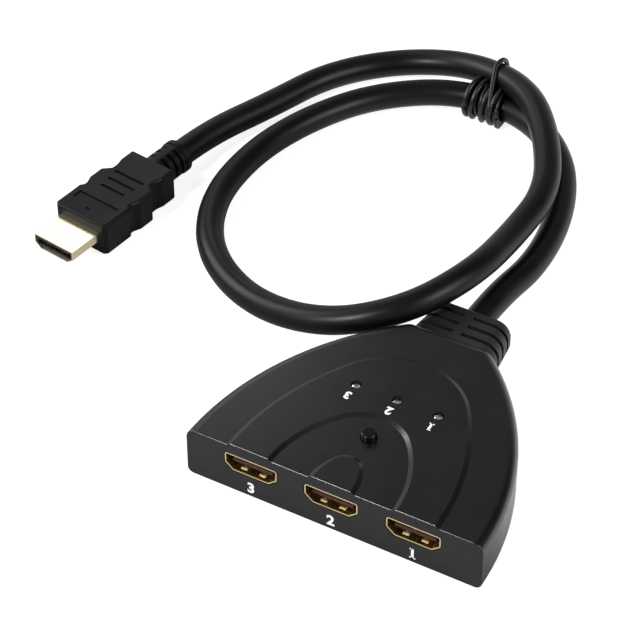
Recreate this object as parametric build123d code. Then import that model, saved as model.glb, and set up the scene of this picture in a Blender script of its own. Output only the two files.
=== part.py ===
"""Video switch box with three sockets, a select button and a pigtail cable with its plug.

Millimetres, +Z up. The box stands on z = 0 with its straight socket face towards -Y. The origin lies
on the floor, midway across the box and midway from the socket face to the tip of the strain relief.
"""

from build123d import *
import os
from math import asin, atan2, cos, pi, radians, sin, sqrt, tan

# Housing
housing_width = 82.0
housing_depth = 63.4
housing_height = 14.9
rear_width = 23.0
rear_corner_radius = 4.0
crown_radius = 3.0
foot_radius = 1.8
face_edge_radius = 0.4
wall = 2.0
roof = 2.0
floor_thickness = 2.4
overrun = 1.0

# Stepped arches on the roof
step_height = 0.6
step_bevel = 1.2
outer_arch_half_width = 29.2
outer_arch_reach = 49.8
middle_arch_half_width = 17.8
middle_arch_reach = 27.2
inner_arch_half_width = 6.4
inner_arch_reach = 11.6
arch_cap_share = 0.70

# Lip of the floor plate inside the cover
lip_gap = 0.15
lip_thickness = 1.0
lip_height = 1.6
lip_break_width = 26.0

# Sockets
port_pitch = 22.5
port_axis_height = 9.47
port_recess = 0.1
socket_width = 14.0
socket_height = 4.55
socket_side_height = 2.75
socket_foot_width = 9.8
socket_corner_radius = 0.4
socket_metal = 0.35
socket_depth = 11.4
socket_cutout_gap = 0.2
finger_width = 1.7
finger_length = 3.2
finger_rise = 0.5
finger_half_spacing = 2.6
finger_setback = 0.9
tab_width = 1.6
tab_reach = 0.8
front_tab_setback = 4.6
rear_tab_setback = 9.4
tongue_width = 11.2
tongue_thickness = 1.0
tongue_setback = 1.1
insulator_depth = 3.2
insulator_gap = 0.02

# Contacts, alike in the sockets and the plug
contact_pitch = 1.0
upper_contact_count = 10
lower_contact_count = 9
contact_width = 0.32
contact_thickness = 0.15
contact_setback = 0.6
contact_tail_thickness = 0.25
contact_foot_length = 0.9

# Circuit board
board_thickness = 1.6
board_inset = 2.6
board_front_gap = 0.3
board_rear_gap = 7.4
board_hole_gap = 0.25

# Bosses and screws
boss_diameter = 5.4
boss_inset = 7.5
front_boss_y = 16.0
rear_boss_setback = 4.5
boss_floor_gap = 0.05
screw_diameter = 2.4
screw_length = 7.5
screw_head_diameter = 4.4
screw_head_height = 1.3
screw_sink = 0.3
screw_gap = 0.05
screw_head_gap = 0.2
recess_width = 0.6
recess_length = 2.6
recess_depth = 0.7

# Posts that carry the board and hold it down
post_diameter = 4.0
post_pin_diameter = 1.8
post_pin_height = 1.2
post_pin_gap = 0.1
front_post_y = 6.5
rear_post_half_spacing = 22.0
rear_post_y = 30.0
press_post_diameter = 3.4
press_post_gap = 0.1

# Select button and its switch
button_y = 19.2
button_diameter = 4.0
button_hole_gap = 0.2
button_rise = 2.0
button_edge_radius = 0.5
button_flange_width = 1.0
button_flange_thickness = 0.8
button_flange_gap = 0.15
switch_side = 6.0
switch_height = 2.6
switch_lid_thickness = 0.3
well_diameter = 4.4
well_depth = 1.7
dome_diameter = 4.0
dome_thickness = 0.1
dome_rise = 0.4
plunger_diameter = 3.0
plunger_height = 2.8
plunger_collar_width = 0.4
plunger_gap = 0.15

# Status lights
led_y = 34.0
led_pitch = 11.6
led_diameter = 2.4
led_hole_gap = 0.2
led_height = 4.6
led_below_surface = 0.2
led_rim_width = 0.3
led_rim_height = 0.6
led_leg_side = 0.45
led_leg_pitch = 1.4

# Chip, capacitors and resistors
chip_side = 7.0
chip_height = 1.0
chip_setback = 12.0
chip_dot_diameter = 0.8
chip_dot_depth = 0.1
capacitor_length = 2.0
capacitor_width = 1.25
capacitor_height = 0.9
capacitor_pitch = 2.7
capacitor_rows = 3
resistor_length = 1.6
resistor_width = 0.8
resistor_height = 0.45
resistor_before_led = 4.0

# Strain relief
relief_length = 14.1
relief_root_width = 25.0
relief_tip_width = 22.0
relief_root_height = 11.4
relief_tip_height = 10.8
relief_axis_height = 6.9
relief_corner_radius = 4.4
relief_tip_radius = 1.6
relief_slot_width = 1.15
relief_slot_depth = 1.2
relief_slot_pitch = 3.55
relief_slot_rows = 3
relief_rib_width = 2.4
neck_width = 15.0
neck_height = 7.6
neck_gap = 0.1
flange_width = 20.0
flange_height = 8.4
flange_thickness = 2.6
flange_gap = 0.1

# Cable
cable_diameter = 7.5
cable_lead = 12.7
bend_share = 0.45
core_diameter = 1.3
core_count = 9
core_gap = 0.1
core_pad_pitch = 1.75
core_pad_length = 2.4
core_lead = 1.2

# Plug
plug_nose_x = -113.3
plug_nose_y = 22.75
plug_yaw = 8.3
plug_height = 10.2
plug_length = 31.2
plug_block_width = 18.4
plug_block_length = 10.4
plug_notch_width = 16.8
plug_notch_length = 1.2
plug_grip_width = 18.6
plug_grip_length = 4.8
plug_waist_width = 14.2
plug_waist_length = 2.2
plug_tail_width = 15.4
plug_nose_chamfer = 1.0
plug_slope_length = 2.2
plug_outline_radius = 0.5
plug_edge_radius = 0.8
panel_width = 14.2
panel_length = 3.2
panel_setback = 5.2
panel_depth = 0.4
mark_width = 2.0
mark_length = 1.5
mark_setback = 2.4
mark_depth = 0.3
groove_setback = 13.9
groove_pitch = 3.5
groove_rows = 3
groove_length = 8.4
groove_growth = 1.0
groove_width = 0.9
groove_depth = 0.5
tail_length = 11.1
tail_root_diameter = 9.8
tail_tip_diameter = 9.6
tail_collar_length = 2.0
tail_collar_step = 0.25
tail_slot_width = 1.0
tail_slot_depth = 0.9
tail_slot_pitch = 2.6
tail_slot_rows = 3
tail_rib_width = 2.4
plug_shell_width = 13.9
plug_shell_height = 4.45
plug_shell_side_height = 2.75
plug_shell_foot_width = 9.8
plug_shell_metal = 0.3
plug_shell_reach = 10.9
plug_shell_depth = 3.0
plug_core_setback = 0.3
plug_slot_width = 11.8
plug_slot_height = 1.6
plug_slot_depth = 8.6
plug_fit_gap = 0.02
plug_contact_setback = 0.1

# Twist tie: one loop round both strands, then turns round the inner one
tie_diameter = 1.3
tie_gap = 0.3
tie_inner_share = 0.206
tie_outer_share = 0.7945
tie_turns = 2
tie_turn_pitch = 4.6
tie_points_per_turn = 8

# Places that follow from the sizes
front = -(housing_depth + relief_length) / 2
rear = front + housing_depth
relief_tip = rear + relief_length
side_step = (housing_width - rear_width) / 2
flank_radius = (side_step**2 + housing_depth**2) / (2 * side_step)
flank_centre_x = housing_width / 2 - flank_radius
ceiling = housing_height - roof
plateau_height = housing_height + step_height
board_top = port_axis_height - socket_height / 2 - socket_metal
board_bottom = board_top - board_thickness
board_front = front + wall + board_front_gap
board_rear = rear - wall - board_rear_gap
socket_front = front + port_recess
socket_rear = socket_front + socket_depth
port_places = [port_pitch, 0, -port_pitch]
switch_top = board_top + switch_height
well_floor = switch_top - well_depth
plunger_bottom = well_floor + dome_thickness + dome_rise
plunger_top = plunger_bottom + plunger_height
button_middle = front + button_y
led_row = front + led_y
led_places = [(led_pitch, led_row), (0, led_row), (-led_pitch, led_row)]
screw_seat = screw_sink + screw_head_height
screw_top = screw_seat + screw_length
flange_rear = rear - wall - flange_gap
flange_front = flange_rear - flange_thickness
plug_axis_height = plug_height / 2


def flank_x(y, inset=0):
    """Half width of the housing at y, drawn in by inset."""
    return flank_centre_x + sqrt((flank_radius - inset)**2 - (y - front)**2)


boss_places = [(side * flank_x(y, boss_inset), y)
               for y in (front + front_boss_y, board_rear - rear_boss_setback) for side in (-1, 1)]
post_places = [(side * half, front + y) for side in (-1, 1)
               for half, y in ((port_pitch / 2, front_post_y), (rear_post_half_spacing, rear_post_y))]


def block(x0, x1, y0, y1, z0, z1):
    """A box between two corners."""
    return Pos(x0, y0, z0) * Box(x1 - x0, y1 - y0, z1 - z0, align=(Align.MIN, Align.MIN, Align.MIN))


def rod(x, y, z0, z1, diameter):
    """An upright round bar."""
    return Pos(x, y, z0) * Cylinder(diameter / 2, z1 - z0, align=(Align.CENTER, Align.CENTER, Align.MIN))


def along_y(face, x, y, z, length):
    """A flat section, drawn in width and height, carried back along +Y from y."""
    plane = Plane(origin=(x, y, z), x_dir=(1, 0, 0), z_dir=(0, -1, 0))
    return extrude(plane * face, amount=-length)


def bend_radii(points):
    """For each corner of a route, the largest arc that its two runs allow."""
    radii = []
    for before, corner, after in zip(points, points[1:], points[2:]):
        arriving = Vector(*corner) - Vector(*before)
        leaving = Vector(*after) - Vector(*corner)
        half_turn = radians(arriving.get_angle(leaving)) / 2
        radii.append(bend_share * min(arriving.length, leaving.length) / tan(half_turn))
    return radii


def bar_along(points, diameter):
    """A round bar along straight runs joined by tangent arcs, with the line that it follows."""
    path = FilletPolyline(*points, radius=bend_radii(points))
    start = Plane(origin=points[0], z_dir=Vector(*points[1]) - Vector(*points[0]))
    return sweep(start * Circle(diameter / 2), path=path), path


def housing_outline(inset, y_front, y_rear):
    """Plan of the housing: straight front and rear, and one arc on each flank."""
    right = [(flank_x(y, inset), y) for y in (y_front, (y_front + y_rear) / 2, y_rear)]
    left = [(-x, y) for x, y in reversed(right)]
    return make_face([Line(left[2], right[0]), ThreePointArc(*right),
                      Line(right[2], left[0]), ThreePointArc(*left)])


def housing_block():
    """The closed outer form below the steps, with its front edges still sharp."""
    form = extrude(housing_outline(0, front, rear), amount=housing_height)
    rear_corners = form.edges().filter_by(Axis.Z).sort_by(Axis.Y)[-2:]
    form = fillet(rear_corners, rear_corner_radius)
    crown = form.faces().sort_by(Axis.Z)[-1].edges().sort_by(Axis.Y)[1:]
    form = fillet(crown, crown_radius)
    foot = form.faces().sort_by(Axis.Z)[0].edges().sort_by(Axis.Y)[1:]
    return fillet(foot, foot_radius)


def arch_outline(half_width, reach, y_front, z):
    """Plan of an arch: two flank arcs, tangent to a round cap whose top is reach behind the face."""
    cap_radius = arch_cap_share * half_width
    cap_y = reach - cap_radius
    radius = (half_width**2 + cap_y**2 - cap_radius**2) / (2 * (half_width - cap_radius))
    start = asin((y_front - front) / radius)
    end = atan2(cap_y, radius - half_width)
    right = [(half_width - radius + radius * cos(a), front + radius * sin(a))
             for a in (start, (start + end) / 2, end)]
    left = [(-x, y) for x, y in reversed(right)]
    top = (0, front + reach)
    return Pos(0, 0, z) * make_face([Line(left[2], right[0]), ThreePointArc(*right),
                                     ThreePointArc(right[2], top, left[0]), ThreePointArc(*left)])


def raised_arch(half_width, reach):
    """A bevelled step up from the roof, with its front edge eased."""
    slab = loft([arch_outline(half_width, reach, front, housing_height),
                 arch_outline(half_width - step_bevel, reach - step_bevel, front, plateau_height)],
                ruled=True)
    slab += extrude(arch_outline(half_width, reach, front, housing_height), amount=-roof / 2)
    front_top = slab.edges().group_by(Axis.Z)[-1].sort_by(Axis.Y)[0]
    return fillet(front_top, face_edge_radius)


def arch_recess(half_width, reach):
    """The space of a step back down: its rim at half_width, its floor level with the roof."""
    run_on = step_bevel * overrun / step_height
    well = loft([arch_outline(half_width - step_bevel, reach - step_bevel, front - overrun,
                              housing_height),
                 arch_outline(half_width + run_on, reach + run_on, front - overrun,
                              plateau_height + overrun)], ruled=True)
    return well + extrude(arch_outline(half_width - step_bevel, reach - step_bevel,
                                       front - overrun, housing_height), amount=-roof)


def outer_form():
    """The whole moulded outside: the block with its front edges eased, and the steps on top."""
    form = housing_block()
    form = fillet(form.faces().sort_by(Axis.Y)[0].outer_wire().edges(), face_edge_radius)
    steps = raised_arch(outer_arch_half_width, outer_arch_reach)
    steps -= arch_recess(middle_arch_half_width, middle_arch_reach)
    steps += raised_arch(inner_arch_half_width, inner_arch_reach)
    return form + steps


def socket_section(width, height, side_height, foot_width, grow, corner):
    """The shared plug and socket outline: wide above, its lower corners cut away."""
    half = height / 2
    face = make_face(Polyline((-width / 2, half), (width / 2, half), (width / 2, half - side_height),
                              (foot_width / 2, -half), (-foot_width / 2, -half),
                              (-width / 2, half - side_height), close=True))
    if grow:
        face = offset(face, grow, kind=Kind.INTERSECTION)
    if corner:
        face = fillet(face.vertices(), corner)
    return face


def port_section(grow, corner):
    return socket_section(socket_width, socket_height, socket_side_height, socket_foot_width,
                          grow, corner)


def top_cover():
    """Roof and walls in one moulding, open below, with the sockets' face down to the floor."""
    cover = outer_form()
    cover -= block(-housing_width, housing_width, front + wall, rear + overrun,
                   -overrun, floor_thickness)
    cavity = housing_outline(wall, front + wall, rear - wall)
    cover -= extrude(Pos(0, 0, -overrun) * cavity, amount=ceiling + overrun)
    for x, y in boss_places:
        cover += rod(x, y, floor_thickness + boss_floor_gap, ceiling, boss_diameter)
        cover -= rod(x, y, 0, screw_top + screw_gap, screw_diameter + 2 * screw_gap)
    for x, y in post_places:
        cover += rod(x, y, board_top + press_post_gap, ceiling, press_post_diameter)
    cutout = port_section(socket_metal + socket_cutout_gap, socket_corner_radius + socket_metal)
    for x in port_places:
        cover -= along_y(cutout, x, front - overrun, port_axis_height, wall + 2 * overrun)
    for x, y in led_places:
        cover -= rod(x, y, ceiling - overrun, plateau_height + overrun, led_diameter + 2 * led_hole_gap)
    cover -= rod(0, button_middle, ceiling - overrun, plateau_height + overrun,
                 button_diameter + 2 * button_hole_gap)
    half_slot = neck_width / 2 + neck_gap
    cover -= block(-half_slot, half_slot, rear - wall - overrun, rear + overrun,
                   0, relief_axis_height + neck_height / 2 + neck_gap)
    return cover


def bottom_cover():
    """Floor plate with a locating lip, a saddle under the relief, board posts and screw holes."""
    lip_inset = wall + lip_gap
    inner_inset = lip_inset + lip_thickness
    cover = housing_block() & block(-housing_width, housing_width, front + lip_inset, rear + overrun,
                                    0, floor_thickness)
    lip = extrude(housing_outline(lip_inset, front + lip_inset, rear - lip_inset),
                  amount=floor_thickness + lip_height)
    lip -= extrude(housing_outline(inner_inset, front + inner_inset, rear - inner_inset),
                   amount=housing_height)
    lip -= block(-housing_width, housing_width, front, rear, 0, floor_thickness / 2)
    lip -= block(-lip_break_width / 2, lip_break_width / 2, 0, rear, 0, housing_height)
    cover += lip
    cover += block(-neck_width / 2, neck_width / 2, rear - wall, rear,
                   floor_thickness / 2, relief_axis_height - neck_height / 2 - neck_gap)
    for x, y in boss_places:
        cover -= rod(x, y, floor_thickness, housing_height, boss_diameter + 2 * lip_gap)
        cover -= rod(x, y, -overrun, screw_seat, screw_head_diameter + 2 * screw_head_gap)
        cover -= rod(x, y, 0, floor_thickness + overrun, screw_diameter + 2 * screw_head_gap)
    for x, y in post_places:
        cover += rod(x, y, floor_thickness / 2, board_bottom, post_diameter)
        cover += rod(x, y, floor_thickness, board_bottom + post_pin_height, post_pin_diameter)
    return cover


def shell_leg(x, side, setback, grow):
    """One leg of a socket shell, from its side wall down through the board."""
    inner = x + side * (socket_width / 2 - grow)
    outer = x + side * (socket_width / 2 + socket_metal + grow)
    y = socket_front + setback
    return block(min(inner, outer), max(inner, outer), y - tab_width / 2 - grow,
                 y + tab_width / 2 + grow, board_bottom - tab_reach, port_axis_height)


def shell_legs(x, grow):
    return [shell_leg(x, side, setback, grow) for side in (-1, 1)
            for setback in (front_tab_setback, rear_tab_setback)]


def circuit_board():
    """Board to the housing's outline, with boss, pin and shell-leg holes."""
    board = extrude(Pos(0, 0, board_bottom) * housing_outline(board_inset, board_front, board_rear),
                    amount=board_thickness)
    low = board_bottom - overrun
    high = board_top + overrun
    for x, y in boss_places:
        board -= rod(x, y, low, high, boss_diameter + 2 * board_hole_gap)
    for x, y in post_places:
        board -= rod(x, y, low, high, post_pin_diameter + 2 * post_pin_gap)
    for x in port_places:
        for leg in shell_legs(x, board_hole_gap / 2):
            board -= leg
    return board


def spring_finger(x, up):
    """A sprung tongue that bulges into the socket from its floor, or from its roof."""
    base = port_axis_height - up * (socket_height / 2 + socket_metal / 2)
    crest = base + up * (finger_rise + socket_metal / 2)
    start = socket_front + finger_setback
    side = Plane(origin=(x - finger_width / 2, 0, 0), x_dir=(0, 1, 0), z_dir=(1, 0, 0))
    bulge = make_face([ThreePointArc((start, base), (start + finger_length / 2, crest),
                                     (start + finger_length, base)),
                       Line((start + finger_length, base), (start, base))])
    return extrude(side * bulge, amount=finger_width)


def port_shell(x):
    """Folded metal socket shell: an open tube with sprung tongues and legs through the board."""
    shell = along_y(port_section(socket_metal, socket_corner_radius + socket_metal),
                    x, socket_front, port_axis_height, socket_depth)
    shell -= along_y(port_section(0, socket_corner_radius),
                     x, socket_front - overrun, port_axis_height, socket_depth + 2 * overrun)
    for side in (-1, 1):
        for up in (-1, 1):
            shell += spring_finger(x + side * finger_half_spacing, up)
    for leg in shell_legs(x, 0):
        shell += leg
    return shell


def contact_places():
    """Sideways place of each contact, with 1 for the upper row and -1 for the lower one."""
    return [((i - (count - 1) / 2) * contact_pitch, up)
            for up, count in ((1, upper_contact_count), (-1, lower_contact_count))
            for i in range(count)]


def contact_strip(x, up):
    """The straight part of a socket contact, on one face of the tongue."""
    surface = port_axis_height + up * tongue_thickness / 2
    outside = surface + up * contact_thickness
    return block(x - contact_width / 2, x + contact_width / 2,
                 socket_front + tongue_setback + contact_setback, socket_rear,
                 min(surface, outside), max(surface, outside))


def port_insulator(x):
    """Moulded block that closes the back of a socket, with the tongue that carries the contacts."""
    body = along_y(port_section(-insulator_gap, socket_corner_radius), x,
                   socket_rear - insulator_depth, port_axis_height, insulator_depth)
    body += block(x - tongue_width / 2, x + tongue_width / 2,
                  socket_front + tongue_setback, socket_rear,
                  port_axis_height - tongue_thickness / 2, port_axis_height + tongue_thickness / 2)
    for place, up in contact_places():
        body -= contact_strip(x + place, up)
    return body


def port_contacts(x):
    """Nineteen bent strips: along the tongue, out at the back, down and onto the board."""
    contacts = []
    for place, up in contact_places():
        strip = contact_strip(x + place, up)
        low = x + place - contact_width / 2
        high = x + place + contact_width / 2
        strip += block(low, high, socket_rear, socket_rear + contact_tail_thickness,
                       board_top, strip.bounding_box().max.Z)
        strip += block(low, high, socket_rear, socket_rear + contact_foot_length,
                       board_top, board_top + contact_thickness)
        contacts.append(strip)
    return contacts


def select_switch_base():
    half = switch_side / 2
    base = block(-half, half, button_middle - half, button_middle + half, board_top, switch_top)
    return base - rod(0, button_middle, well_floor, switch_top + overrun, well_diameter)


def select_switch_cover():
    half = switch_side / 2
    lid = block(-half, half, button_middle - half, button_middle + half,
                switch_top, switch_top + switch_lid_thickness)
    return lid - rod(0, button_middle, switch_top - overrun, switch_top + overrun,
                     plunger_diameter + 2 * plunger_gap)


def switch_dome():
    """Sprung disc: a thin spherical cap whose rim rests on the floor of the well."""
    half = dome_diameter / 2
    radius = (half**2 + dome_rise**2) / (2 * dome_rise)
    turn = atan2(half, radius - dome_rise) / 2
    middle_x = radius * sin(turn)
    middle_z = dome_rise - radius + radius * cos(turn)
    under = ThreePointArc((0, dome_rise), (middle_x, middle_z), (half, 0))
    over = ThreePointArc((half, dome_thickness), (middle_x, middle_z + dome_thickness),
                         (0, dome_rise + dome_thickness))
    profile = make_face([under, Line((half, 0), (half, dome_thickness)), over,
                         Line((0, dome_rise + dome_thickness), (0, dome_rise))])
    upright = Plane(origin=(0, button_middle, well_floor), x_dir=(1, 0, 0), z_dir=(0, -1, 0))
    return revolve(upright * profile, axis=Axis((0, button_middle, 0), (0, 0, 1)))


def switch_plunger():
    """Round stem on the dome, with a collar that the switch cover keeps in."""
    return (rod(0, button_middle, plunger_bottom, plunger_top, plunger_diameter)
            + rod(0, button_middle, plunger_bottom, plunger_bottom + switch_lid_thickness,
                  plunger_diameter + 2 * plunger_collar_width))


def select_button():
    """Button cap on the plunger, with a flange under the roof."""
    cap = rod(0, button_middle, plunger_top, housing_height + button_rise, button_diameter)
    cap = fillet(cap.edges().group_by(Axis.Z)[-1], button_edge_radius)
    flange_top = ceiling - button_flange_gap
    return cap + rod(0, button_middle, flange_top - button_flange_thickness, flange_top,
                     button_diameter + 2 * button_flange_width)


def led(x, y):
    """Clear round-nosed light with a rim at its foot."""
    top = plateau_height - led_below_surface
    foot = top - led_height
    nose = top - led_diameter / 2
    return (rod(x, y, foot, nose, led_diameter) + Pos(x, y, nose) * Sphere(led_diameter / 2)
            + rod(x, y, foot, foot + led_rim_height, led_diameter + 2 * led_rim_width))


def led_leads():
    """Two square legs under each light, down to the board."""
    half = led_leg_side / 2
    top = plateau_height - led_below_surface - led_height
    return [block(x + place - half, x + place + half, y - half, y + half, board_top, top)
            for x, y in led_places for place in (-led_leg_pitch / 2, led_leg_pitch / 2)]


def switch_chip():
    """Square chip between two of the lights' lines, with a dot at one corner."""
    half = chip_side / 2
    x = led_pitch / 2
    y = board_rear - chip_setback
    chip = block(x - half, x + half, y - half, y + half, board_top, board_top + chip_height)
    corner = half - chip_dot_diameter
    return chip - rod(x - corner, y + corner, board_top + chip_height - chip_dot_depth,
                      board_top + chip_height + overrun, chip_dot_diameter)


def capacitors():
    """Two rows of small blocks, on the other side of the middle from the chip."""
    pieces = []
    for column in (-1, 1):
        for row in range(capacitor_rows):
            x = -led_pitch / 2 + column * capacitor_pitch / 2
            y = board_rear - chip_setback + (row - (capacitor_rows - 1) / 2) * capacitor_pitch
            pieces.append(block(x - capacitor_length / 2, x + capacitor_length / 2,
                                y - capacitor_width / 2, y + capacitor_width / 2,
                                board_top, board_top + capacitor_height))
    return pieces


def resistors():
    """One in front of each light."""
    pieces = []
    for x, y in led_places:
        middle = y - resistor_before_led
        pieces.append(block(x - resistor_length / 2, x + resistor_length / 2,
                            middle - resistor_width / 2, middle + resistor_width / 2,
                            board_top, board_top + resistor_height))
    return pieces


def cover_screws():
    """Four cross-recess screws, driven up from below into the bosses."""
    screws = []
    for x, y in boss_places:
        screw = rod(x, y, screw_sink, screw_seat, screw_head_diameter)
        screw += rod(x, y, screw_seat, screw_top, screw_diameter)
        for across, along in ((recess_width, recess_length), (recess_length, recess_width)):
            screw -= block(x - across / 2, x + across / 2, y - along / 2, y + along / 2,
                           screw_sink - overrun, screw_sink + recess_depth)
        screws.append(screw)
    return screws


def relief_section(distance, inset):
    """Rounded section of the relief at a distance behind the box, drawn in by inset."""
    share = distance / relief_length
    width = relief_root_width + (relief_tip_width - relief_root_width) * share
    height = relief_root_height + (relief_tip_height - relief_root_height) * share
    return RectangleRounded(width - 2 * inset, height - 2 * inset, relief_corner_radius - inset)


def relief_slots():
    """Rows of slots that wrap each side, broken by a rib on the middle line."""
    margin = (relief_length - (relief_slot_rows - 1) * relief_slot_pitch) / 2
    slots = []
    for row in range(relief_slot_rows):
        distance = margin + row * relief_slot_pitch
        start = rear + distance - relief_slot_width / 2
        whole = 2 * relief_root_height
        ring = along_y(Rectangle(relief_root_width + whole, whole), 0, start, relief_axis_height,
                       relief_slot_width)
        ring -= along_y(relief_section(distance, relief_slot_depth), 0, start - overrun,
                        relief_axis_height, relief_slot_width + 2 * overrun)
        ring -= along_y(Rectangle(relief_rib_width, whole), 0, start - overrun,
                        relief_axis_height, relief_slot_width + 2 * overrun)
        slots.append(ring)
    return slots


def strain_relief():
    """Flat moulded relief: tapered slab with slots, a neck through the wall and a flange inside."""
    ends = [Plane(origin=(0, rear + distance, relief_axis_height), x_dir=(1, 0, 0), z_dir=(0, -1, 0))
            * relief_section(distance, 0) for distance in (0, relief_length)]
    relief = loft(ends, ruled=True)
    relief = fillet(relief.faces().sort_by(Axis.Y)[-1].edges(), relief_tip_radius)
    for slot in relief_slots():
        relief -= slot
    relief += along_y(Rectangle(neck_width, neck_height), 0, flange_rear, relief_axis_height,
                      rear - flange_rear + overrun)
    relief += along_y(Rectangle(flange_width, flange_height), 0, flange_front, relief_axis_height,
                      flange_thickness)
    return relief


def cable_wires():
    """Insulated cores that leave the relief side by side and spread onto the board's pads."""
    pad_height = board_top + core_diameter / 2
    wires = []
    for i in range(core_count):
        place = i - (core_count - 1) / 2
        near = place * (core_diameter + core_gap)
        far = place * core_pad_pitch
        points = [(near, flange_front, relief_axis_height),
                  (near, flange_front - core_lead, relief_axis_height),
                  (far, board_rear + core_lead, pad_height),
                  (far, board_rear - core_pad_length, pad_height)]
        wires.append(bar_along(points, core_diameter)[0])
    return wires


def tail_end(distance):
    """A point on the cable's line, a distance behind the plug's tail."""
    reach = plug_length + tail_length + distance
    return (plug_nose_x + reach * sin(radians(plug_yaw)),
            plug_nose_y + reach * cos(radians(plug_yaw)), plug_axis_height)


# The cable's route: out of the relief, round the loop on the floor, over itself and on to the plug
cable_route = [
    (0, relief_tip, relief_axis_height), (0, relief_tip + cable_lead, relief_axis_height),
    (3, 72, 4.4), (-1.5, 96.5, 3.8), (-12, 117.5, 4.2), (-30.5, 132.5, 5.8), (-53.5, 133.5, 5.8),
    (-74, 120, 4.2), (-85.5, 99, 3.8), (-90.5, 76.5, 3.8), (-89, 52.5, 3.8), (-77.5, 32, 3.8),
    (-57, 20.5, 5.5), (-33.5, 17.5, 16), (-14.5, 28.5, 26), (-3, 48.5, 26.5), (-5, 72.5, 20.5),
    (-6, 95.5, 14.5), (-15.5, 116.5, 14.5), (-30, 136, 13.5), (-51, 145, 7.5), (-73, 140.5, 3.8),
    (-90, 122.5, 3.8), (-98.5, 100, 3.8), tail_end(cable_lead), tail_end(0)]


def cable():
    """The sheathed cable as one tube, with the line that it follows."""
    tube, path = bar_along(cable_route, cable_diameter)
    section = pi * (cable_diameter / 2)**2
    print("cable bend radii", [round(radius, 1) for radius in bend_radii(cable_route)])
    print("cable length", round(path.length, 1),
          "tube volume over section times length", round(tube.volume / (section * path.length), 4))
    return tube, path


def wound_points(path):
    """Corners of the tie's turns, which wind round the cable's own line."""
    reach = (cable_diameter / 2 + tie_gap + tie_diameter / 2) / cos(pi / tie_points_per_turn)
    points = []
    for i in range(tie_turns * tie_points_per_turn + 1):
        share = tie_inner_share + i * tie_turn_pitch / tie_points_per_turn / path.length
        middle = path.position_at(share)
        sideways = path.tangent_at(share).cross(Vector(0, 0, 1)).normalized()
        angle = 2 * pi * i / tie_points_per_turn
        points.append(tuple(middle + sideways * (reach * cos(angle))
                            + Vector(0, 0, reach * sin(angle))))
    return points


def cable_tie(path):
    """Twist tie: a closed loop round both strands, and turns round the inner strand."""
    inner = path.position_at(tie_inner_share)
    outer = path.position_at(tie_outer_share)
    across = (outer - inner).normalized()
    onward = path.tangent_at(tie_inner_share) + path.tangent_at(tie_outer_share)
    aside = onward.cross(across).normalized()
    reach = cable_diameter / 2 + tie_gap + tie_diameter / 2
    start = inner + aside * reach
    top_near = outer + aside * reach
    top_far = outer - aside * reach
    end = inner - aside * reach
    loop = Wire([Line(start, top_near), ThreePointArc(top_near, outer + across * reach, top_far),
                 Line(top_far, end), ThreePointArc(end, inner - across * reach, start)])
    ring = sweep(Plane(origin=start, z_dir=across) * Circle(tie_diameter / 2), path=loop)
    turns = bar_along(wound_points(path), tie_diameter)[0]
    return ring + turns


def in_plug_place(piece):
    """Turns and moves a piece drawn nose down -Y, with the grip's front face at y = 0."""
    return Pos(plug_nose_x, plug_nose_y, 0) * Rot(0, 0, -plug_yaw) * piece


def plug_section(grow):
    return socket_section(plug_shell_width, plug_shell_height, plug_shell_side_height,
                          plug_shell_foot_width, grow, 0)


def plug_outline():
    """Plan of the grip: block, notch, finger grip, waist and tail, from the nose back."""
    stations = [(plug_block_width - 2 * plug_nose_chamfer, 0, 0),
                (plug_block_width, plug_nose_chamfer, plug_block_length - plug_nose_chamfer),
                (plug_notch_width, plug_nose_chamfer, plug_notch_length),
                (plug_grip_width, plug_slope_length, plug_grip_length),
                (plug_waist_width, plug_slope_length, plug_waist_length),
                (plug_tail_width, plug_slope_length, 0)]
    right = []
    y = 0
    for width, slope, straight in stations:
        y += slope
        right.append((width / 2, y))
        if straight:
            y += straight
            right.append((width / 2, y))
    right.append((plug_tail_width / 2, plug_length))
    left = [(-x, y) for x, y in reversed(right)]
    face = make_face(Polyline(*right, *left, close=True))
    return fillet(face.vertices(), plug_outline_radius)


def plug_tail():
    """Round tapered tail with a collar at its end and broken ring slots."""
    root = tail_root_diameter / 2
    tip = tail_tip_diameter / 2
    start = plug_length - overrun
    end = plug_length + tail_length
    neck = end - tail_collar_length
    profile = Polyline((0, start), (root, start), (root, plug_length), (tip, neck),
                       (tip + tail_collar_step, neck), (tip + tail_collar_step, end - tail_collar_step),
                       (tip, end), (0, end), close=True)
    tail = revolve(make_face(profile), axis=Axis.Y)
    margin = (tail_length - tail_collar_length - (tail_slot_rows - 1) * tail_slot_pitch) / 2
    for row in range(tail_slot_rows):
        y = plug_length + margin + row * tail_slot_pitch
        ring = Cylinder(2 * root, tail_slot_width) - Cylinder(tip - tail_slot_depth, 2 * tail_slot_width)
        ring -= Box(tail_rib_width, 4 * root, 2 * tail_slot_width)
        tail -= Pos(0, y, 0) * Rot(90, 0, 0) * ring
    return Pos(0, 0, plug_axis_height) * tail


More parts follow.
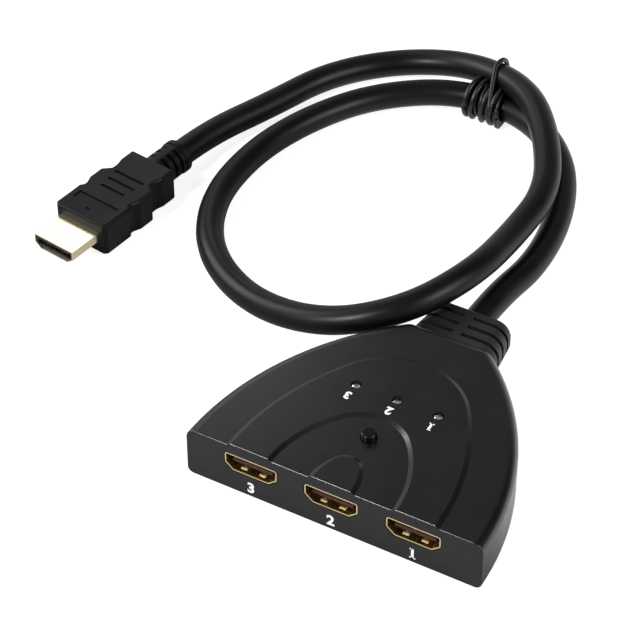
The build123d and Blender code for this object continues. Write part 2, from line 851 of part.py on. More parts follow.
def plug_overmould():
    """Moulded grip with a bare sunk panel, a sunk pointer, cross grooves and its round tail."""
    grip = extrude(plug_outline(), amount=plug_height)
    grip = fillet(grip.edges().filter_by(Plane.XY), plug_edge_radius)
    grip -= block(-panel_width / 2, panel_width / 2, panel_setback, panel_setback + panel_length,
                  plug_height - panel_depth, plug_height + overrun)
    pointer = make_face(Polyline((0, mark_setback), (mark_width / 2, mark_setback + mark_length),
                                 (-mark_width / 2, mark_setback + mark_length), close=True))
    grip -= extrude(Pos(0, 0, plug_height - mark_depth) * pointer, amount=mark_depth + overrun)
    for row in range(groove_rows):
        y = groove_setback + row * groove_pitch
        half = (groove_length + row * groove_growth) / 2
        grip -= block(-half, half, y - groove_width / 2, y + groove_width / 2,
                      plug_height - groove_depth, plug_height + overrun)
    grip += plug_tail()
    return grip - along_y(plug_section(plug_fit_gap), 0, -overrun, plug_axis_height,
                          plug_shell_depth + overrun)


def plug_shell():
    """Folded metal shell of the plug, sunk into the grip."""
    length = plug_shell_reach + plug_shell_depth
    shell = along_y(plug_section(0), 0, -plug_shell_reach, plug_axis_height, length)
    return shell - along_y(plug_section(-plug_shell_metal), 0, -plug_shell_reach - overrun,
                           plug_axis_height, length + 2 * overrun)


def plug_insulator():
    """Core of the plug with the flat slot that takes a socket's tongue."""
    start = plug_core_setback - plug_shell_reach
    core = along_y(plug_section(-plug_shell_metal - plug_fit_gap), 0, start, plug_axis_height,
                   plug_shell_depth - start)
    return core - along_y(Rectangle(plug_slot_width, plug_slot_height), 0, start - overrun,
                          plug_axis_height, plug_slot_depth + overrun)


def plug_contacts():
    """Nineteen strips along the roof and the floor of the slot."""
    start = plug_core_setback - plug_shell_reach
    strips = []
    for x, up in contact_places():
        surface = plug_axis_height + up * plug_slot_height / 2
        inside = surface - up * contact_thickness
        strips.append(block(x - contact_width / 2, x + contact_width / 2, start + plug_contact_setback,
                            start + plug_slot_depth, min(surface, inside), max(surface, inside)))
    return strips


def main():
    tube, path = cable()
    nodes = {
        "top_cover": top_cover(),
        "bottom_cover": bottom_cover(),
        "circuit_board": circuit_board(),
        "select_switch_base": select_switch_base(),
        "select_switch_cover": select_switch_cover(),
        "switch_dome": switch_dome(),
        "switch_plunger": switch_plunger(),
        "select_button": select_button(),
        "led_leads": Compound(led_leads()),
        "switch_chip": switch_chip(),
        "capacitors": Compound(capacitors()),
        "resistors": Compound(resistors()),
        "cover_screws": Compound(cover_screws()),
        "strain_relief": strain_relief(),
        "cable_wires": Compound(cable_wires()),
        "cable": tube,
        "cable_tie": cable_tie(path),
        "plug_overmould": in_plug_place(plug_overmould()),
        "plug_shell": in_plug_place(plug_shell()),
        "plug_insulator": in_plug_place(plug_insulator()),
        "plug_contacts": in_plug_place(Compound(plug_contacts())),
    }
    for number, (port_x, led_place) in enumerate(zip(port_places, led_places), start=1):
        nodes[f"port_{number}_shell"] = port_shell(port_x)
        nodes[f"port_{number}_insulator"] = port_insulator(port_x)
        nodes[f"port_{number}_contacts"] = Compound(port_contacts(port_x))
        nodes[f"led_{number}"] = led(*led_place)
    os.makedirs("parts", exist_ok=True)
    for name, shape in nodes.items():
        export_step(shape, f"parts/{name}.step")


main()
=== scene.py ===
"""Three-way video switch box: its finishes, cable, tie, lights and studio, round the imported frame.

Metres, +Z up, the socket face towards -Y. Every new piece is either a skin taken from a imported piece
and smoothed, or a surface worked out on a grid of two parameters.
"""

from math import cos, pi, radians, sin

import bmesh
import bpy
import numpy as np
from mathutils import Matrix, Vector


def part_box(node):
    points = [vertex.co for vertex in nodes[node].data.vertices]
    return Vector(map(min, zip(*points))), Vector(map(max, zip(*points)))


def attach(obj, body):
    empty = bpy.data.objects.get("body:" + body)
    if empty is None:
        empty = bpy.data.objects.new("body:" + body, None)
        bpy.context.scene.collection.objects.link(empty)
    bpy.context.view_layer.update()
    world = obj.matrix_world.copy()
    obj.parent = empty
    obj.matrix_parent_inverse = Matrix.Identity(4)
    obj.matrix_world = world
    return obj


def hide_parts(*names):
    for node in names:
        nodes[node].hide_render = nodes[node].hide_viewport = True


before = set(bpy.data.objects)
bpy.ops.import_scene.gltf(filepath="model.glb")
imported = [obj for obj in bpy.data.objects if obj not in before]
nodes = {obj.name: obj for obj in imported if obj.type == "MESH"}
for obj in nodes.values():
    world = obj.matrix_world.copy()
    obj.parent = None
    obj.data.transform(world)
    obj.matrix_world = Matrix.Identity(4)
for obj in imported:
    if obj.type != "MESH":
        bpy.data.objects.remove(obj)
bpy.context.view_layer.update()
MM = 0.001
NUMBERS = (1, 2, 3)

# Camera, at the photograph's viewing angle
CAMERA_PLACE = (0.20560, -0.41070, 0.44312)
CAMERA_TILT = 48.69
CAMERA_TURN = 29.44
CAMERA_LENS = 143.12
CAMERA_SENSOR = 36.0

# Cable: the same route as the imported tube's, at the heights where the real one rests
CABLE_DIAMETER = 7.8 * MM
CABLE_ROUTE = [
    (0.0, 0.03875, 0.0069), (0.0, 0.05145, 0.0069), (0.0024, 0.0719, 0.00475),
    (-0.0015, 0.0969, 0.00395), (-0.0115, 0.1179, 0.00425), (-0.0287, 0.1305, 0.00535),
    (-0.0517, 0.1313, 0.00535), (-0.0727, 0.1183, 0.00425), (-0.0847, 0.0983, 0.00395),
    (-0.0904, 0.0763, 0.00395), (-0.0891, 0.0526, 0.00395), (-0.0779, 0.0323, 0.00395),
    (-0.0574, 0.0203, 0.00395), (-0.0330, 0.0170, 0.00935), (-0.0133, 0.0257, 0.01635),
    (-0.0045, 0.0465, 0.01735), (-0.0044, 0.0699, 0.01335), (-0.0047, 0.0923, 0.01255),
    (-0.0142, 0.1124, 0.01385), (-0.0288, 0.1306, 0.01405), (-0.0512, 0.1413, 0.00865),
    (-0.0738, 0.1382, 0.00405), (-0.0899, 0.1214, 0.00395), (-0.0975, 0.0995, 0.00395),
    (-0.105360, 0.077174, 0.0051), (-0.107194, 0.064607, 0.0051)]
CABLE_STEPS = 16
CABLE_SIDE_STEPS = 10

# Twist tie, by turns of its wire: wound along the inner strand and back over itself, once round both
# strands, and a last turn. Where it has crept to along the strand, and which of its two layers it is in
TIE_DIAMETER = 1.5 * MM
TIE_INNER_X = -38.8 * MM
TIE_OUTER_X = -42.0 * MM
TIE_TURNS = (-9.0, -3.3, -2.8, 0.0, 1.0, 2.2)
TIE_CREEP = (-3.0 * MM, 8.2 * MM, 8.0 * MM, 0.0, -0.3 * MM, -2.8 * MM)
TIE_LAYER = (0.0, 0.0, 1.0, 1.0, 1.0, 1.0)
TIE_LAYER_LIFT = 0.75
TIE_CREEP_WANDER = 0.3 * MM
TIE_CREEP_PACE = 2.7
TIE_LIFT_WANDER = 0.12 * MM
TIE_LIFT_PACE = 4.1
TIE_SHIFT_PACE = 1.6
TIE_STEPS = 56
TIE_SIDES = 10
FAR_STRANDS_Y = 0.1

# Reflector cup in each light: its foot above the light's, its base below the light's top, and its
# profile as (radius, height over the base) in millimetres
CUP_FOOT = 0.7 * MM
CUP_BASE = 2.5 * MM
CUP_POST = 0.35 * MM
CUP_PROFILE = ((0.35, 0.0), (0.78, 0.3), (0.82, 1.1), (0.72, 1.15), (0.3, 0.5), (0.12, 0.52),
               (0.12, 0.75), (0.02, 0.76))
CUP_SIDES = 20

# Printed numbers: the typeface's height is a share of its size, and the ink spreads by a share of
# the number's height
DIGIT_HEIGHT = 2.5 * MM
INK_THICKNESS = 0.03 * MM
INK_SPREAD = 0.05
TYPE_SHARE = 0.7
TOP_DIGIT_SETBACK = 4.6 * MM
FACE_DIGIT_HEIGHT = 3.1 * MM
FACE_DIGIT_Z = 3.1 * MM

# Serifs of the 1, as shares of its height: half the foot's width, the flag's reach, their thickness
SERIF_FOOT = 0.26
SERIF_FLAG = 0.22
SERIF_THICKNESS = 0.12

# Floor: a sheet of pale paper just under the object, and the glow added to it where the camera, or a
# reflection, looks at it. In reflections it rises from front left to back right, over this stretch of
# x + y in millimetres
PAPER_COLOUR = (0.36, 0.36, 0.36, 1.0)
PAPER_HALF = 4.0
PAPER_Z = -0.0002
SEEN_GLOW = 0.83
FRONT_GLOW = 0.05
BACK_GLOW = 0.75
GLOW_STRETCH = (0.0, 45.0)
WHITE = (1.0, 1.0, 1.0, 1.0)

# Room: the sine of the height where its pale walls end and its dark ceiling starts, and their light
WALL_TOP = 0.30
CEILING_START = 0.52
WALL_LIGHT = 0.75
CEILING_LIGHT = 0.26

# Dark screen hung behind and to the right: its direction, and the cosines where it starts and is full
SCREEN_DIRECTION = (0.54, 0.664, 0.519)
SCREEN_START = 0.84
SCREEN_FULL = 0.93
SCREEN_LIGHT = 0.12

# Square lamps: place, the point each aims at, side and watts. The card is aimed at the plug, and the
# edge lamp draws the bright line along the box's front top edge
LAMPS = {
    "left_lamp": ((-1.3, -0.10, 0.75), (-0.03, 0.05, 0), 0.8, 15.0),
    "right_lamp": ((0.85, 0.05, 0.55), (0.15, 0.05, 0), 0.5, 7.5),
    "plug_card": ((-0.245, 0.243, 0.238), (-0.115, 0.015, 0.007), 0.13, 0.088),
    "edge_lamp": ((-0.409, -0.890, 0.756), (0.0, -0.03, 0.015), 0.20, 13.5),
}

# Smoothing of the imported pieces' skins, angles in degrees
MERGE_DISTANCE = 0.002 * MM
FLAT_ANGLE = 0.4
SHARP_ANGLE = 24.0
STEP_ANGLE = 24.0

# The edges of the cover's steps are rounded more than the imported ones
STEPS_ABOVE = 14.0 * MM
STEP_ROUNDING = 0.4 * MM
STEP_SEGMENTS = 3
HOLE_CLEARANCE = 1.5 * MM

# Textures are worked out in millimetres: clouds in plastic, ripples in cast epoxy
PER_METRE = (1000.0, 1000.0, 1000.0)
CLOUD_SCALE = 0.09
RIPPLE_SCALE = 1.4
RIPPLE_LIFT = 0.12 * MM
NOISE_LOW = 0.3
NOISE_HIGH = 0.7


def colour(code):
    """Linear colour from an sRGB hex code, by the standard two-part curve."""
    parts = np.array([int(code[i:i + 2], 16) for i in (1, 3, 5)]) / 255
    straight = parts / 12.92
    curved = ((parts + 0.055) / 1.055) ** 2.4
    return (*np.where(parts <= 0.04045, straight, curved), 1.0)


def add(tree, kind, inputs=(), **settings):
    """One shader node with its settings; an input's value is a constant, or a socket to link."""
    node = tree.nodes.new(kind)
    for name, value in settings.items():
        setattr(node, name, value)
    for key, value in dict(inputs).items():
        if isinstance(value, bpy.types.NodeSocket):
            tree.links.new(value, node.inputs[key])
        else:
            node.inputs[key].default_value = value
    return node


def blank(name):
    """A new material with an empty tree, its output, and millimetre coordinates on the piece."""
    made = bpy.data.materials.new(name)
    made.use_nodes = True
    tree = made.node_tree
    tree.nodes.clear()
    output = add(tree, "ShaderNodeOutputMaterial")
    place = add(tree, "ShaderNodeTexCoord").outputs["Object"]
    grid = add(tree, "ShaderNodeVectorMath", {0: place, 1: PER_METRE}, operation="MULTIPLY")
    return made, tree, output, grid.outputs[0]


def moulded(name, base, worn, rough_low, rough_high, grain_mm, grain_lift, ior=1.5):
    """Moulded or extruded plastic: fine grain, faint clouding of colour, uneven polish."""
    made, tree, output, grid = blank(name)
    cloud = add(tree, "ShaderNodeTexNoise",
                {"Vector": grid, "Scale": CLOUD_SCALE, "Detail": 5.0}).outputs[0]
    grain = add(tree, "ShaderNodeTexNoise",
                {"Vector": grid, "Scale": 1 / grain_mm, "Detail": 3.0}).outputs[0]
    tint = add(tree, "ShaderNodeMix", {"Factor": cloud, "A": colour(base), "B": colour(worn)},
               data_type="RGBA")
    polish = add(tree, "ShaderNodeMapRange", {0: cloud, 1: NOISE_LOW, 2: NOISE_HIGH,
                                              3: rough_low, 4: rough_high})
    bump = add(tree, "ShaderNodeBump", {"Height": grain, "Strength": 1.0,
                                        "Distance": grain_lift * MM})
    skin = add(tree, "ShaderNodeBsdfPrincipled",
               {"Base Color": tint.outputs[2], "Roughness": polish.outputs[0],
                "Normal": bump.outputs[0], "IOR": ior})
    tree.links.new(skin.outputs[0], output.inputs[0])
    return made


def metal(name, base, dull, rough_low, rough_high, grain_mm, grain_lift):
    """Plated or pressed metal: faint rolling marks and uneven brightness."""
    made, tree, output, grid = blank(name)
    marks = add(tree, "ShaderNodeTexNoise",
                {"Vector": grid, "Scale": 1 / grain_mm, "Detail": 4.0}).outputs[0]
    tint = add(tree, "ShaderNodeMix", {"Factor": marks, "A": colour(base), "B": colour(dull)},
               data_type="RGBA")
    polish = add(tree, "ShaderNodeMapRange", {0: marks, 1: NOISE_LOW, 2: NOISE_HIGH,
                                              3: rough_low, 4: rough_high})
    bump = add(tree, "ShaderNodeBump", {"Height": marks, "Strength": 1.0,
                                        "Distance": grain_lift * MM})
    skin = add(tree, "ShaderNodeBsdfPrincipled",
               {"Base Color": tint.outputs[2], "Roughness": polish.outputs[0], "Metallic": 1.0,
                "Normal": bump.outputs[0]})
    tree.links.new(skin.outputs[0], output.inputs[0])
    return made


def clear_epoxy():
    """Cast clear epoxy: smooth and glassy, with a faint ripple left by the mould."""
    made, tree, output, grid = blank("clear_cast_epoxy")
    ripple = add(tree, "ShaderNodeTexNoise", {"Vector": grid, "Scale": RIPPLE_SCALE, "Detail": 2.0})
    bump = add(tree, "ShaderNodeBump", {"Height": ripple.outputs[0], "Strength": 1.0,
                                        "Distance": RIPPLE_LIFT})
    skin = add(tree, "ShaderNodeBsdfPrincipled",
               {"Base Color": colour("#f4f8fb"), "Roughness": 0.03, "IOR": 1.54,
                "Transmission Weight": 1.0, "Normal": bump.outputs[0]})
    tree.links.new(skin.outputs[0], output.inputs[0])
    return made


# Each: name, two colours that it drifts between, lowest and highest roughness, and its grain's size
# and depth in millimetres. An index below 1.5 gives a black plastic the real one's weak sheen
MATERIALS = {
    # Satin moulded ABS: near black, a spark-eroded grain that softens the highlights
    "housing": moulded("satin_moulded_abs", "#09090c", "#0d0d10", 0.24, 0.30, 0.3, 0.002),
    # Moulded ABS of the button, smoother and deeper black
    "button": moulded("polished_moulded_abs", "#050506", "#08080a", 0.20, 0.26, 0.3, 0.002, ior=1.3),
    # Extruded vinyl sheath: deep black with long soft highlights
    "sheath": moulded("extruded_vinyl", "#040405", "#070708", 0.34, 0.42, 0.6, 0.004, ior=1.28),
    # Moulded vinyl of the strain relief: mat, with the mould's fine grain
    "grip": moulded("moulded_vinyl", "#0f1014", "#131418", 0.46, 0.56, 0.25, 0.006),
    # Moulded vinyl of the plug, darker and mat
    "plug": moulded("moulded_plug_vinyl", "#050507", "#08080a", 0.36, 0.46, 0.25, 0.006, ior=1.27),
    # Vinyl-coated tie wire: wet-looking black
    "tie": moulded("vinyl_coated_wire", "#060607", "#09090a", 0.32, 0.44, 0.5, 0.010, ior=1.42),
    # Glass-filled brown moulding of the sockets' tongue blocks
    "insulator": moulded("glass_filled_moulding", "#2a0f09", "#38160c", 0.35, 0.5, 0.2, 0.004),
    # Glass-filled black moulding of the plug's core
    "block": moulded("glass_filled_black_moulding", "#0e0e10", "#151517", 0.35, 0.5, 0.2, 0.004),
    # Thin gold over the plug's drawn shell: paler than the sockets' gold
    "pale_gold": metal("pale_gold_plated_steel", "#fff3d4", "#fcedc6", 0.20, 0.24, 2.5, 0.0004),
    # Thin gold over folded steel and contacts: bright and pale
    "gold": metal("gold_plated_steel", "#ffebb8", "#fbe4a8", 0.20, 0.24, 2.5, 0.0004),
    # Pressed tinned strip of the dome spring, the lights' legs and the switch's cover
    "tin": metal("tinned_pressed_steel", "#d6d8da", "#bfc2c4", 0.22, 0.35, 0.7, 0.002),
    # Polished tinned cup under a light's chip: small sharp glints
    "reflector": metal("polished_tinned_steel", "#f6f6f6", "#e8e8e8", 0.06, 0.12, 0.7, 0.0005),
    # Zinc-plated screws
    "zinc": metal("zinc_plated_steel", "#b9bcc0", "#9a9da2", 0.3, 0.42, 0.5, 0.002),
    # Solder-masked glass laminate
    "board": moulded("solder_masked_laminate", "#0d3b1e", "#114a27", 0.3, 0.4, 0.8, 0.006),
    # Moulded epoxy of the chip, the resistors and the switch
    "chip": moulded("moulded_epoxy", "#151515", "#1d1d1d", 0.5, 0.62, 0.3, 0.005),
    # Fired ceramic of the capacitors
    "ceramic": moulded("fired_ceramic", "#8c7454", "#9b8262", 0.35, 0.45, 0.4, 0.004),
    # Pad-printed white ink
    "ink": moulded("pad_printed_ink", "#f2f2f0", "#e4e4e2", 0.5, 0.62, 0.15, 0.004),
    # Extruded vinyl of the cores
    "core": moulded("core_vinyl", "#8f8f92", "#a2a2a5", 0.4, 0.5, 0.5, 0.006),
    "epoxy": clear_epoxy(),
}

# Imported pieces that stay, and what each is made of
FINISHES = {
    "circuit_board": "board", "select_switch_base": "chip", "select_switch_cover": "tin",
    "switch_dome": "tin", "switch_plunger": "chip", "led_leads": "tin", "switch_chip": "chip",
    "capacitors": "ceramic", "resistors": "chip", "cable_wires": "core", "cover_screws": "zinc",
    "plug_insulator": "block", "plug_contacts": "gold"}
for number in NUMBERS:
    FINISHES[f"port_{number}_insulator"] = "insulator"
    FINISHES[f"port_{number}_contacts"] = "gold"

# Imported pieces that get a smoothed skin: the skin's name, body, slot and material
SKINS = {
    "top_cover": ("cover_moulding", "box", "housing_plastic", "housing"),
    "bottom_cover": ("floor_moulding", "box", "housing_plastic", "housing"),
    "select_button": ("button_moulding", "button", "button_plastic", "button"),
    "strain_relief": ("relief_moulding", "box", "cable_vinyl", "grip"),
    "plug_overmould": ("grip_moulding", "box", "plug_vinyl", "plug"),
    "plug_shell": ("plug_metal_shell", "box", "gold_plate", "pale_gold"),
}
for number in NUMBERS:
    SKINS[f"port_{number}_shell"] = (f"socket_{number}_metal_shell", "box", "gold_plate", "gold")
    SKINS[f"led_{number}"] = (f"light_{number}_lens", "box", "light_resin", "epoxy")


def settle(piece, body, material):
    """Gives a piece its body and its finish."""
    piece.data.materials.clear()
    piece.data.materials.append(MATERIALS[material])
    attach(piece, body)


def new_piece(name, data):
    """An object of that name for the data, in the scene."""
    piece = bpy.data.objects.new(name, data)
    bpy.context.scene.collection.objects.link(piece)
    return piece


def upright_centre(node_name):
    """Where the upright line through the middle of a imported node's box stands."""
    low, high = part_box(node_name)
    return (low.x + high.x) / 2, (low.y + high.y) / 2


def weigh_steps(work):
    """Marks the edges of the cover's steps for rounding: sharp, high, and clear of every hole."""
    front = min(vert.co.y for vert in work.verts)
    holes = []
    for name in ("led_1", "led_2", "led_3", "select_button"):
        low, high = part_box(name)
        holes.append((*upright_centre(name), (high.x - low.x) / 2 + HOLE_CLEARANCE))
    weight = work.edges.layers.float.new("bevel_weight_edge")
    for edge in work.edges:
        if len(edge.link_faces) != 2 or edge.calc_face_angle() < radians(STEP_ANGLE):
            continue
        places = [vert.co for vert in edge.verts]
        high_up = min(place.z for place in places) > STEPS_ABOVE
        behind_face = min(place.y for place in places) > front + STEP_ROUNDING
        clear = all(np.hypot(place.x - x, place.y - y) > reach
                    for place in places for x, y, reach in holes)
        if high_up and behind_face and clear:
            edge[weight] = 1.0


def smoothed_skin(node_name):
    """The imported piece's own surface, its doubles merged, smooth but for its real edges."""
    name, body, slot, material = SKINS[node_name]
    mesh = nodes[node_name].data.copy()
    mesh.name = name
    work = bmesh.new()
    work.from_mesh(mesh)
    bmesh.ops.remove_doubles(work, verts=work.verts, dist=MERGE_DISTANCE)
    bmesh.ops.dissolve_limit(work, angle_limit=radians(FLAT_ANGLE), verts=work.verts, edges=work.edges)
    for face in work.faces:
        face.smooth = True
    if node_name == "top_cover":
        weigh_steps(work)
    work.to_mesh(mesh)
    work.free()
    for stale in ("custom_normal", "sharp_edge"):
        if stale in mesh.attributes:
            mesh.attributes.remove(mesh.attributes[stale])
    mesh.set_sharp_from_angle(angle=radians(SHARP_ANGLE))
    piece = new_piece(name, mesh)
    if node_name == "top_cover":
        ease = piece.modifiers.new("ease", "BEVEL")
        ease.limit_method = "WEIGHT"
        ease.width = STEP_ROUNDING
        ease.segments = STEP_SEGMENTS
        ease.use_clamp_overlap = True
    weights = piece.modifiers.new("weights", "WEIGHTED_NORMAL")
    weights.keep_sharp = True
    settle(piece, body, material)
    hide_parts(node_name)


def grid_mesh(name, points):
    """A mesh from a rows x columns x 3 array: quads between neighbours, the ends capped by fans."""
    rows, columns, _ = points.shape
    verts = np.concatenate([points.reshape(-1, 3), [points[0].mean(0), points[-1].mean(0)]])
    ring = np.arange(columns)
    after = (ring + 1) % columns
    row = np.arange(rows - 1)[:, None] * columns
    quads = np.stack([row + ring, row + after, row + columns + after, row + columns + ring], -1)
    first, last = rows * columns, rows * columns + 1
    top = (rows - 1) * columns
    cap_low = np.stack([np.full(columns, first), after, ring], -1)
    cap_high = np.stack([np.full(columns, last), top + ring, top + after], -1)
    faces = quads.reshape(-1, 4).tolist() + cap_low.tolist() + cap_high.tolist()
    mesh = bpy.data.meshes.new(name)
    mesh.from_pydata(verts.tolist(), [], faces)
    mesh.polygons.foreach_set("use_smooth", np.ones(len(mesh.polygons), bool))
    mesh.validate()
    return mesh


def tube_points(line, radius, sides):
    """Rings round a line: centre + radius (side cos a + up sin a), side and up square to the line."""
    along = np.gradient(line, axis=0)
    along /= np.linalg.norm(along, axis=1)[:, None]
    side = np.cross(along, (0.0, 0.0, 1.0))
    side /= np.linalg.norm(side, axis=1)[:, None]
    up = np.cross(side, along)
    angles = np.linspace(0, 2 * pi, sides, endpoint=False)
    turn = side[:, None] * np.cos(angles)[None, :, None] + up[:, None] * np.sin(angles)[None, :, None]
    return line[:, None] + radius * turn


def lathe_points(profile, sides, centre):
    """A profile of (radius, height) pairs turned about an upright line through centre."""
    angles = np.linspace(0, 2 * pi, sides, endpoint=False)
    radius, height = np.array(profile).T
    x = radius[:, None] * np.cos(angles)
    y = radius[:, None] * np.sin(angles)
    z = np.repeat(height[:, None], sides, 1)
    return np.stack([x, y, z], -1) + np.array(centre)


def camera():
    """The photograph's camera."""
    data = bpy.data.cameras.new("camera")
    data.lens = CAMERA_LENS
    data.sensor_width = CAMERA_SENSOR
    eye = new_piece("camera", data)
    eye.location = CAMERA_PLACE
    eye.rotation_euler = (radians(CAMERA_TILT), 0, radians(CAMERA_TURN))
    bpy.context.scene.camera = eye


def cable():
    """The sheathed cable: a round section along one smooth spline."""
    curve = bpy.data.curves.new("cable_sheath", "CURVE")
    curve.dimensions = "3D"
    spline = curve.splines.new("NURBS")
    spline.points.add(len(CABLE_ROUTE) - 1)
    for point, place in zip(spline.points, CABLE_ROUTE):
        point.co = (*place, 1)
    spline.order_u = 3
    spline.use_endpoint_u = True
    spline.resolution_u = CABLE_STEPS
    curve.bevel_depth = CABLE_DIAMETER / 2
    curve.bevel_resolution = CABLE_SIDE_STEPS
    curve.use_fill_caps = True
    piece = new_piece("cable_sheath", curve)
    settle(piece, "box", "sheath")
    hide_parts("cable")
    return piece


def centre_line(piece):
    """Points along the cable's spline, with their distances from its start."""
    bare = piece.data.copy()
    bare.bevel_depth = 0
    bare.use_fill_caps = False
    probe = bpy.data.objects.new("centre_line", bare)
    mesh = bpy.data.meshes.new_from_object(probe)
    line = np.empty(len(mesh.vertices) * 3)
    mesh.vertices.foreach_get("co", line)
    line = line.reshape(-1, 3)
    bpy.data.objects.remove(probe)
    bpy.data.curves.remove(bare)
    bpy.data.meshes.remove(mesh)
    reach = np.concatenate([[0], np.cumsum(np.linalg.norm(np.diff(line, axis=0), axis=1))])
    return line, reach


def crossing(line, x):
    """The first and the last place on the two far strands where the line passes x."""
    far = line[:, 1] > FAR_STRANDS_Y
    found = np.nonzero(far[:-1] & ((line[:-1, 0] - x) * (line[1:, 0] - x) <= 0))[0]
    return found[0], found[-1]


def twist_tie(line, reach):
    """One wire: two layers round the inner strand, a hoop round both strands, then a last turn.

    At turn t the wire lies at centre + radius (across cos a + aside sin a), a = 2 pi t + pi, and the
    centre creeps along the inner strand. In the turn from 0 to 1 the centre goes over to the outer
    strand while cos a is positive. Slow sines of t make it wander as a hand-wound wire does.
    """
    near = crossing(line, TIE_INNER_X)[0]
    inner, outer = line[near], line[crossing(line, TIE_OUTER_X)[1]]
    turns = np.linspace(TIE_TURNS[0], TIE_TURNS[-1], int(TIE_STEPS * (TIE_TURNS[-1] - TIE_TURNS[0])))
    angle = 2 * pi * turns + pi
    hoop = (turns > 0) & (turns < 1)
    shift = np.clip(0.5 + TIE_SHIFT_PACE * np.cos(angle), 0, 1) * hoop
    wander = (1 - hoop) * TIE_CREEP_WANDER * np.sin(TIE_CREEP_PACE * turns)
    crept = reach[near] + np.interp(turns, TIE_TURNS, TIE_CREEP) + wander
    centre = np.stack([np.interp(crept, reach, line[:, k]) for k in range(3)], -1)
    along = line[near + 1] - inner
    along /= np.linalg.norm(along)
    across = outer - inner
    across -= along * across.dot(along)
    across /= np.linalg.norm(across)
    aside = np.cross(along, across)
    lift = TIE_DIAMETER * TIE_LAYER_LIFT * np.interp(turns, TIE_TURNS, TIE_LAYER) * (1 - shift)
    lift += TIE_LIFT_WANDER * (1 + np.sin(TIE_LIFT_PACE * turns))
    radius = (CABLE_DIAMETER + TIE_DIAMETER) / 2 + lift
    path = (centre + shift[:, None] * (outer - inner)
            + radius[:, None] * (np.cos(angle)[:, None] * across + np.sin(angle)[:, None] * aside))
    path[:, 2] = np.maximum(path[:, 2], TIE_DIAMETER / 2)
    piece = new_piece("tie_wire", grid_mesh("tie_wire", tube_points(path, TIE_DIAMETER / 2, TIE_SIDES)))
    settle(piece, "box", "tie")
    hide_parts("cable_tie")
    return piece


def light_core(number):
    """Reflector cup seen through the clear light: a turned cup on a straight post."""
    low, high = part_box(f"led_{number}")
    base = high.z - CUP_BASE
    profile = [(CUP_POST, low.z + CUP_FOOT)]
    profile += [(radius * MM, base + height * MM) for radius, height in CUP_PROFILE]
    name = f"light_{number}_cup"
    points = lathe_points(profile, CUP_SIDES, (*upright_centre(f"led_{number}"), 0))
    settle(new_piece(name, grid_mesh(name, points)), "box", "reflector")


def add_serifs(mesh):
    """A foot and a flag for the bare upright of a 1, as thin bars in its own plane."""
    low, high = (np.array([f(v.co[k] for v in mesh.vertices) for k in range(3)]) for f in (min, max))
    tall = high[1] - low[1]
    middle = (low[0] + high[0]) / 2
    foot, flag, thick = SERIF_FOOT * tall, SERIF_FLAG * tall, SERIF_THICKNESS * tall
    work = bmesh.new()
    work.from_mesh(mesh)
    for x0, x1, y0, y1 in ((middle - foot, middle + foot, low[1], low[1] + thick),
                           (middle - flag, middle, high[1] - thick, high[1])):
        bar = bmesh.ops.create_cube(work, size=1)["verts"]
        for vert in bar:
            vert.co = (x0 + (vert.co.x + 0.5) * (x1 - x0), y0 + (vert.co.y + 0.5) * (y1 - y0),
                       low[2] + (vert.co.z + 0.5) * (high[2] - low[2]))
    work.to_mesh(mesh)
    work.free()


def printed_digit(name, digit, height, place, turn, upright):
    """A printed number: a filled outline laid on its face, with the ink's thickness."""
    text = bpy.data.curves.new(name, "FONT")
    text.body = str(digit)
    text.size = height / TYPE_SHARE
    text.align_x = "CENTER"
    text.align_y = "CENTER"
    text.extrude = INK_THICKNESS / 2
    text.offset = height * INK_SPREAD
    probe = bpy.data.objects.new("digit_probe", text)
    mesh = bpy.data.meshes.new_from_object(probe)
    bpy.data.objects.remove(probe)
    mesh.name = name
    if digit == 1:
        add_serifs(mesh)
    points = np.empty(len(mesh.vertices) * 3)
    mesh.vertices.foreach_get("co", points)
    points = points.reshape(-1, 3)
    points[:, :2] -= (points[:, :2].max(0) + points[:, :2].min(0)) / 2
    spin = np.array([[cos(turn), -sin(turn), 0], [sin(turn), cos(turn), 0], [0, 0, 1]])
    points = points @ spin.T
    if upright:
        points = points[:, [0, 2, 1]] * (1, -1, 1)
    points += place
    mesh.vertices.foreach_set("co", points.ravel())
    mesh.update()
    settle(new_piece(name, mesh), "box", "ink")


def printed_digits():
    """1, 2 and 3 beside the lights, read from the cable's side, and under the sockets."""
    low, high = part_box("top_cover")
    for number in NUMBERS:
        x, y = upright_centre(f"led_{number}")
        printed_digit(f"top_digit_{number}", number, DIGIT_HEIGHT,
                      (x, y - TOP_DIGIT_SETBACK, high.z), pi, False)
        x, _ = upright_centre(f"port_{number}_shell")
        printed_digit(f"face_digit_{number}", number, FACE_DIGIT_HEIGHT,
                      (x, low.y, FACE_DIGIT_Z), 0, True)


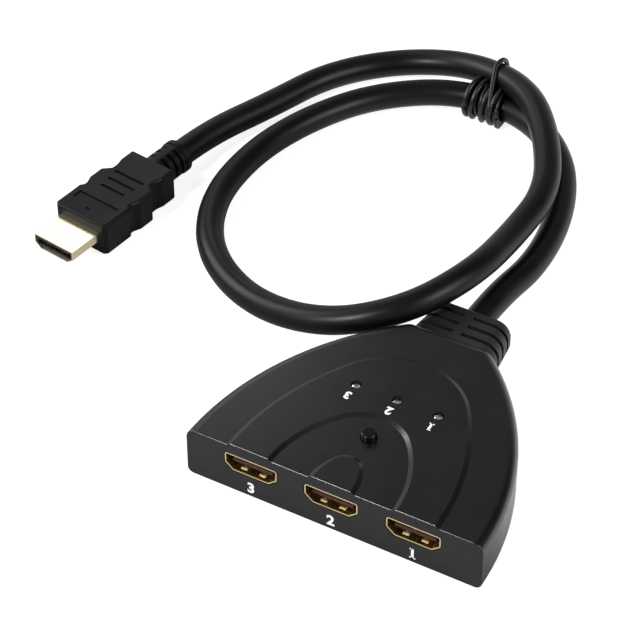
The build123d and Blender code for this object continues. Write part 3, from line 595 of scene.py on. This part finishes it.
def studio_floor():
    """A pale floor that keeps soft shadows and reads as white to the camera."""
    made, tree, output, grid = blank("studio_paper")
    path = add(tree, "ShaderNodeLightPath")
    mirrored = add(tree, "ShaderNodeMath", {0: path.outputs["Is Glossy Ray"],
                                            1: path.outputs["Is Transmission Ray"]},
                   operation="MAXIMUM")
    axes = add(tree, "ShaderNodeSeparateXYZ", {0: grid})
    depth = add(tree, "ShaderNodeMath", {0: axes.outputs["X"], 1: axes.outputs["Y"]}, operation="ADD")
    rise = add(tree, "ShaderNodeMapRange", {0: depth.outputs[0], 1: GLOW_STRETCH[0], 2: GLOW_STRETCH[1],
                                            3: FRONT_GLOW, 4: BACK_GLOW},
               interpolation_type="SMOOTHSTEP")
    mirrored = add(tree, "ShaderNodeMath", {0: mirrored.outputs[0], 1: rise.outputs[0]},
                   operation="MULTIPLY")
    lift = add(tree, "ShaderNodeMath", {0: path.outputs["Is Camera Ray"], 1: SEEN_GLOW,
                                        2: mirrored.outputs[0]}, operation="MULTIPLY_ADD")
    paper = add(tree, "ShaderNodeBsdfDiffuse", {"Color": PAPER_COLOUR})
    glow = add(tree, "ShaderNodeEmission", {"Color": WHITE, "Strength": lift.outputs[0]})
    both = add(tree, "ShaderNodeAddShader", {0: paper.outputs[0], 1: glow.outputs[0]})
    tree.links.new(both.outputs[0], output.inputs[0])
    mesh = bpy.data.meshes.new("studio_floor")
    corners = [(x * PAPER_HALF, y * PAPER_HALF, PAPER_Z)
               for x, y in ((-1, -1), (1, -1), (1, 1), (-1, 1))]
    mesh.from_pydata(corners, [], [(0, 1, 2, 3)])
    mesh.materials.append(made)
    new_piece("studio_floor", mesh)


def lamp(name, place, aim, size, power):
    """A soft square lamp that points from its place at aim."""
    data = bpy.data.lights.new(name, "AREA")
    data.shape = "SQUARE"
    data.size = size
    data.energy = power
    piece = new_piece(name, data)
    piece.location = place
    direction = np.array(aim) - np.array(place)
    flat = np.hypot(direction[0], direction[1])
    piece.rotation_euler = (np.arctan2(flat, -direction[2]), 0,
                            np.arctan2(-direction[0], direction[1]))


def studio():
    """The lamps, and a room that is pale along its walls and dark overhead and in one corner."""
    world = bpy.data.worlds.new("pale_room")
    bpy.context.scene.world = world
    world.use_nodes = True
    tree = world.node_tree
    tree.nodes.clear()
    direction = add(tree, "ShaderNodeTexCoord").outputs["Generated"]
    rise = add(tree, "ShaderNodeSeparateXYZ", {0: direction}).outputs["Z"]
    room = add(tree, "ShaderNodeMapRange", {0: rise, 1: WALL_TOP, 2: CEILING_START,
                                            3: WALL_LIGHT, 4: CEILING_LIGHT},
               interpolation_type="SMOOTHSTEP")
    towards = add(tree, "ShaderNodeVectorMath", {0: direction, 1: SCREEN_DIRECTION},
                  operation="DOT_PRODUCT").outputs["Value"]
    screen = add(tree, "ShaderNodeMapRange", {0: towards, 1: SCREEN_START, 2: SCREEN_FULL,
                                              3: 1.0, 4: SCREEN_LIGHT},
                 interpolation_type="SMOOTHSTEP")
    room = add(tree, "ShaderNodeMath", {0: room.outputs[0], 1: screen.outputs[0]}, operation="MULTIPLY")
    path = add(tree, "ShaderNodeLightPath")
    strength = add(tree, "ShaderNodeMix", {"Factor": path.outputs["Is Camera Ray"],
                                           "A": room.outputs[0], "B": 1.0}, data_type="FLOAT")
    sky = add(tree, "ShaderNodeBackground", {"Color": WHITE, "Strength": strength.outputs[0]})
    output = add(tree, "ShaderNodeOutputWorld")
    tree.links.new(sky.outputs[0], output.inputs[0])
    for name, figures in LAMPS.items():
        lamp(name, *figures)


bpy.context.scene.view_settings.view_transform = "Standard"
camera()
cable_piece = cable()
tie_piece = twist_tie(*centre_line(cable_piece))
for node_name in SKINS:
    smoothed_skin(node_name)
for node_name, finish in FINISHES.items():
    nodes[node_name].data.materials.clear()
    nodes[node_name].data.materials.append(MATERIALS[finish])
for number in NUMBERS:
    light_core(number)
printed_digits()
studio_floor()
studio()
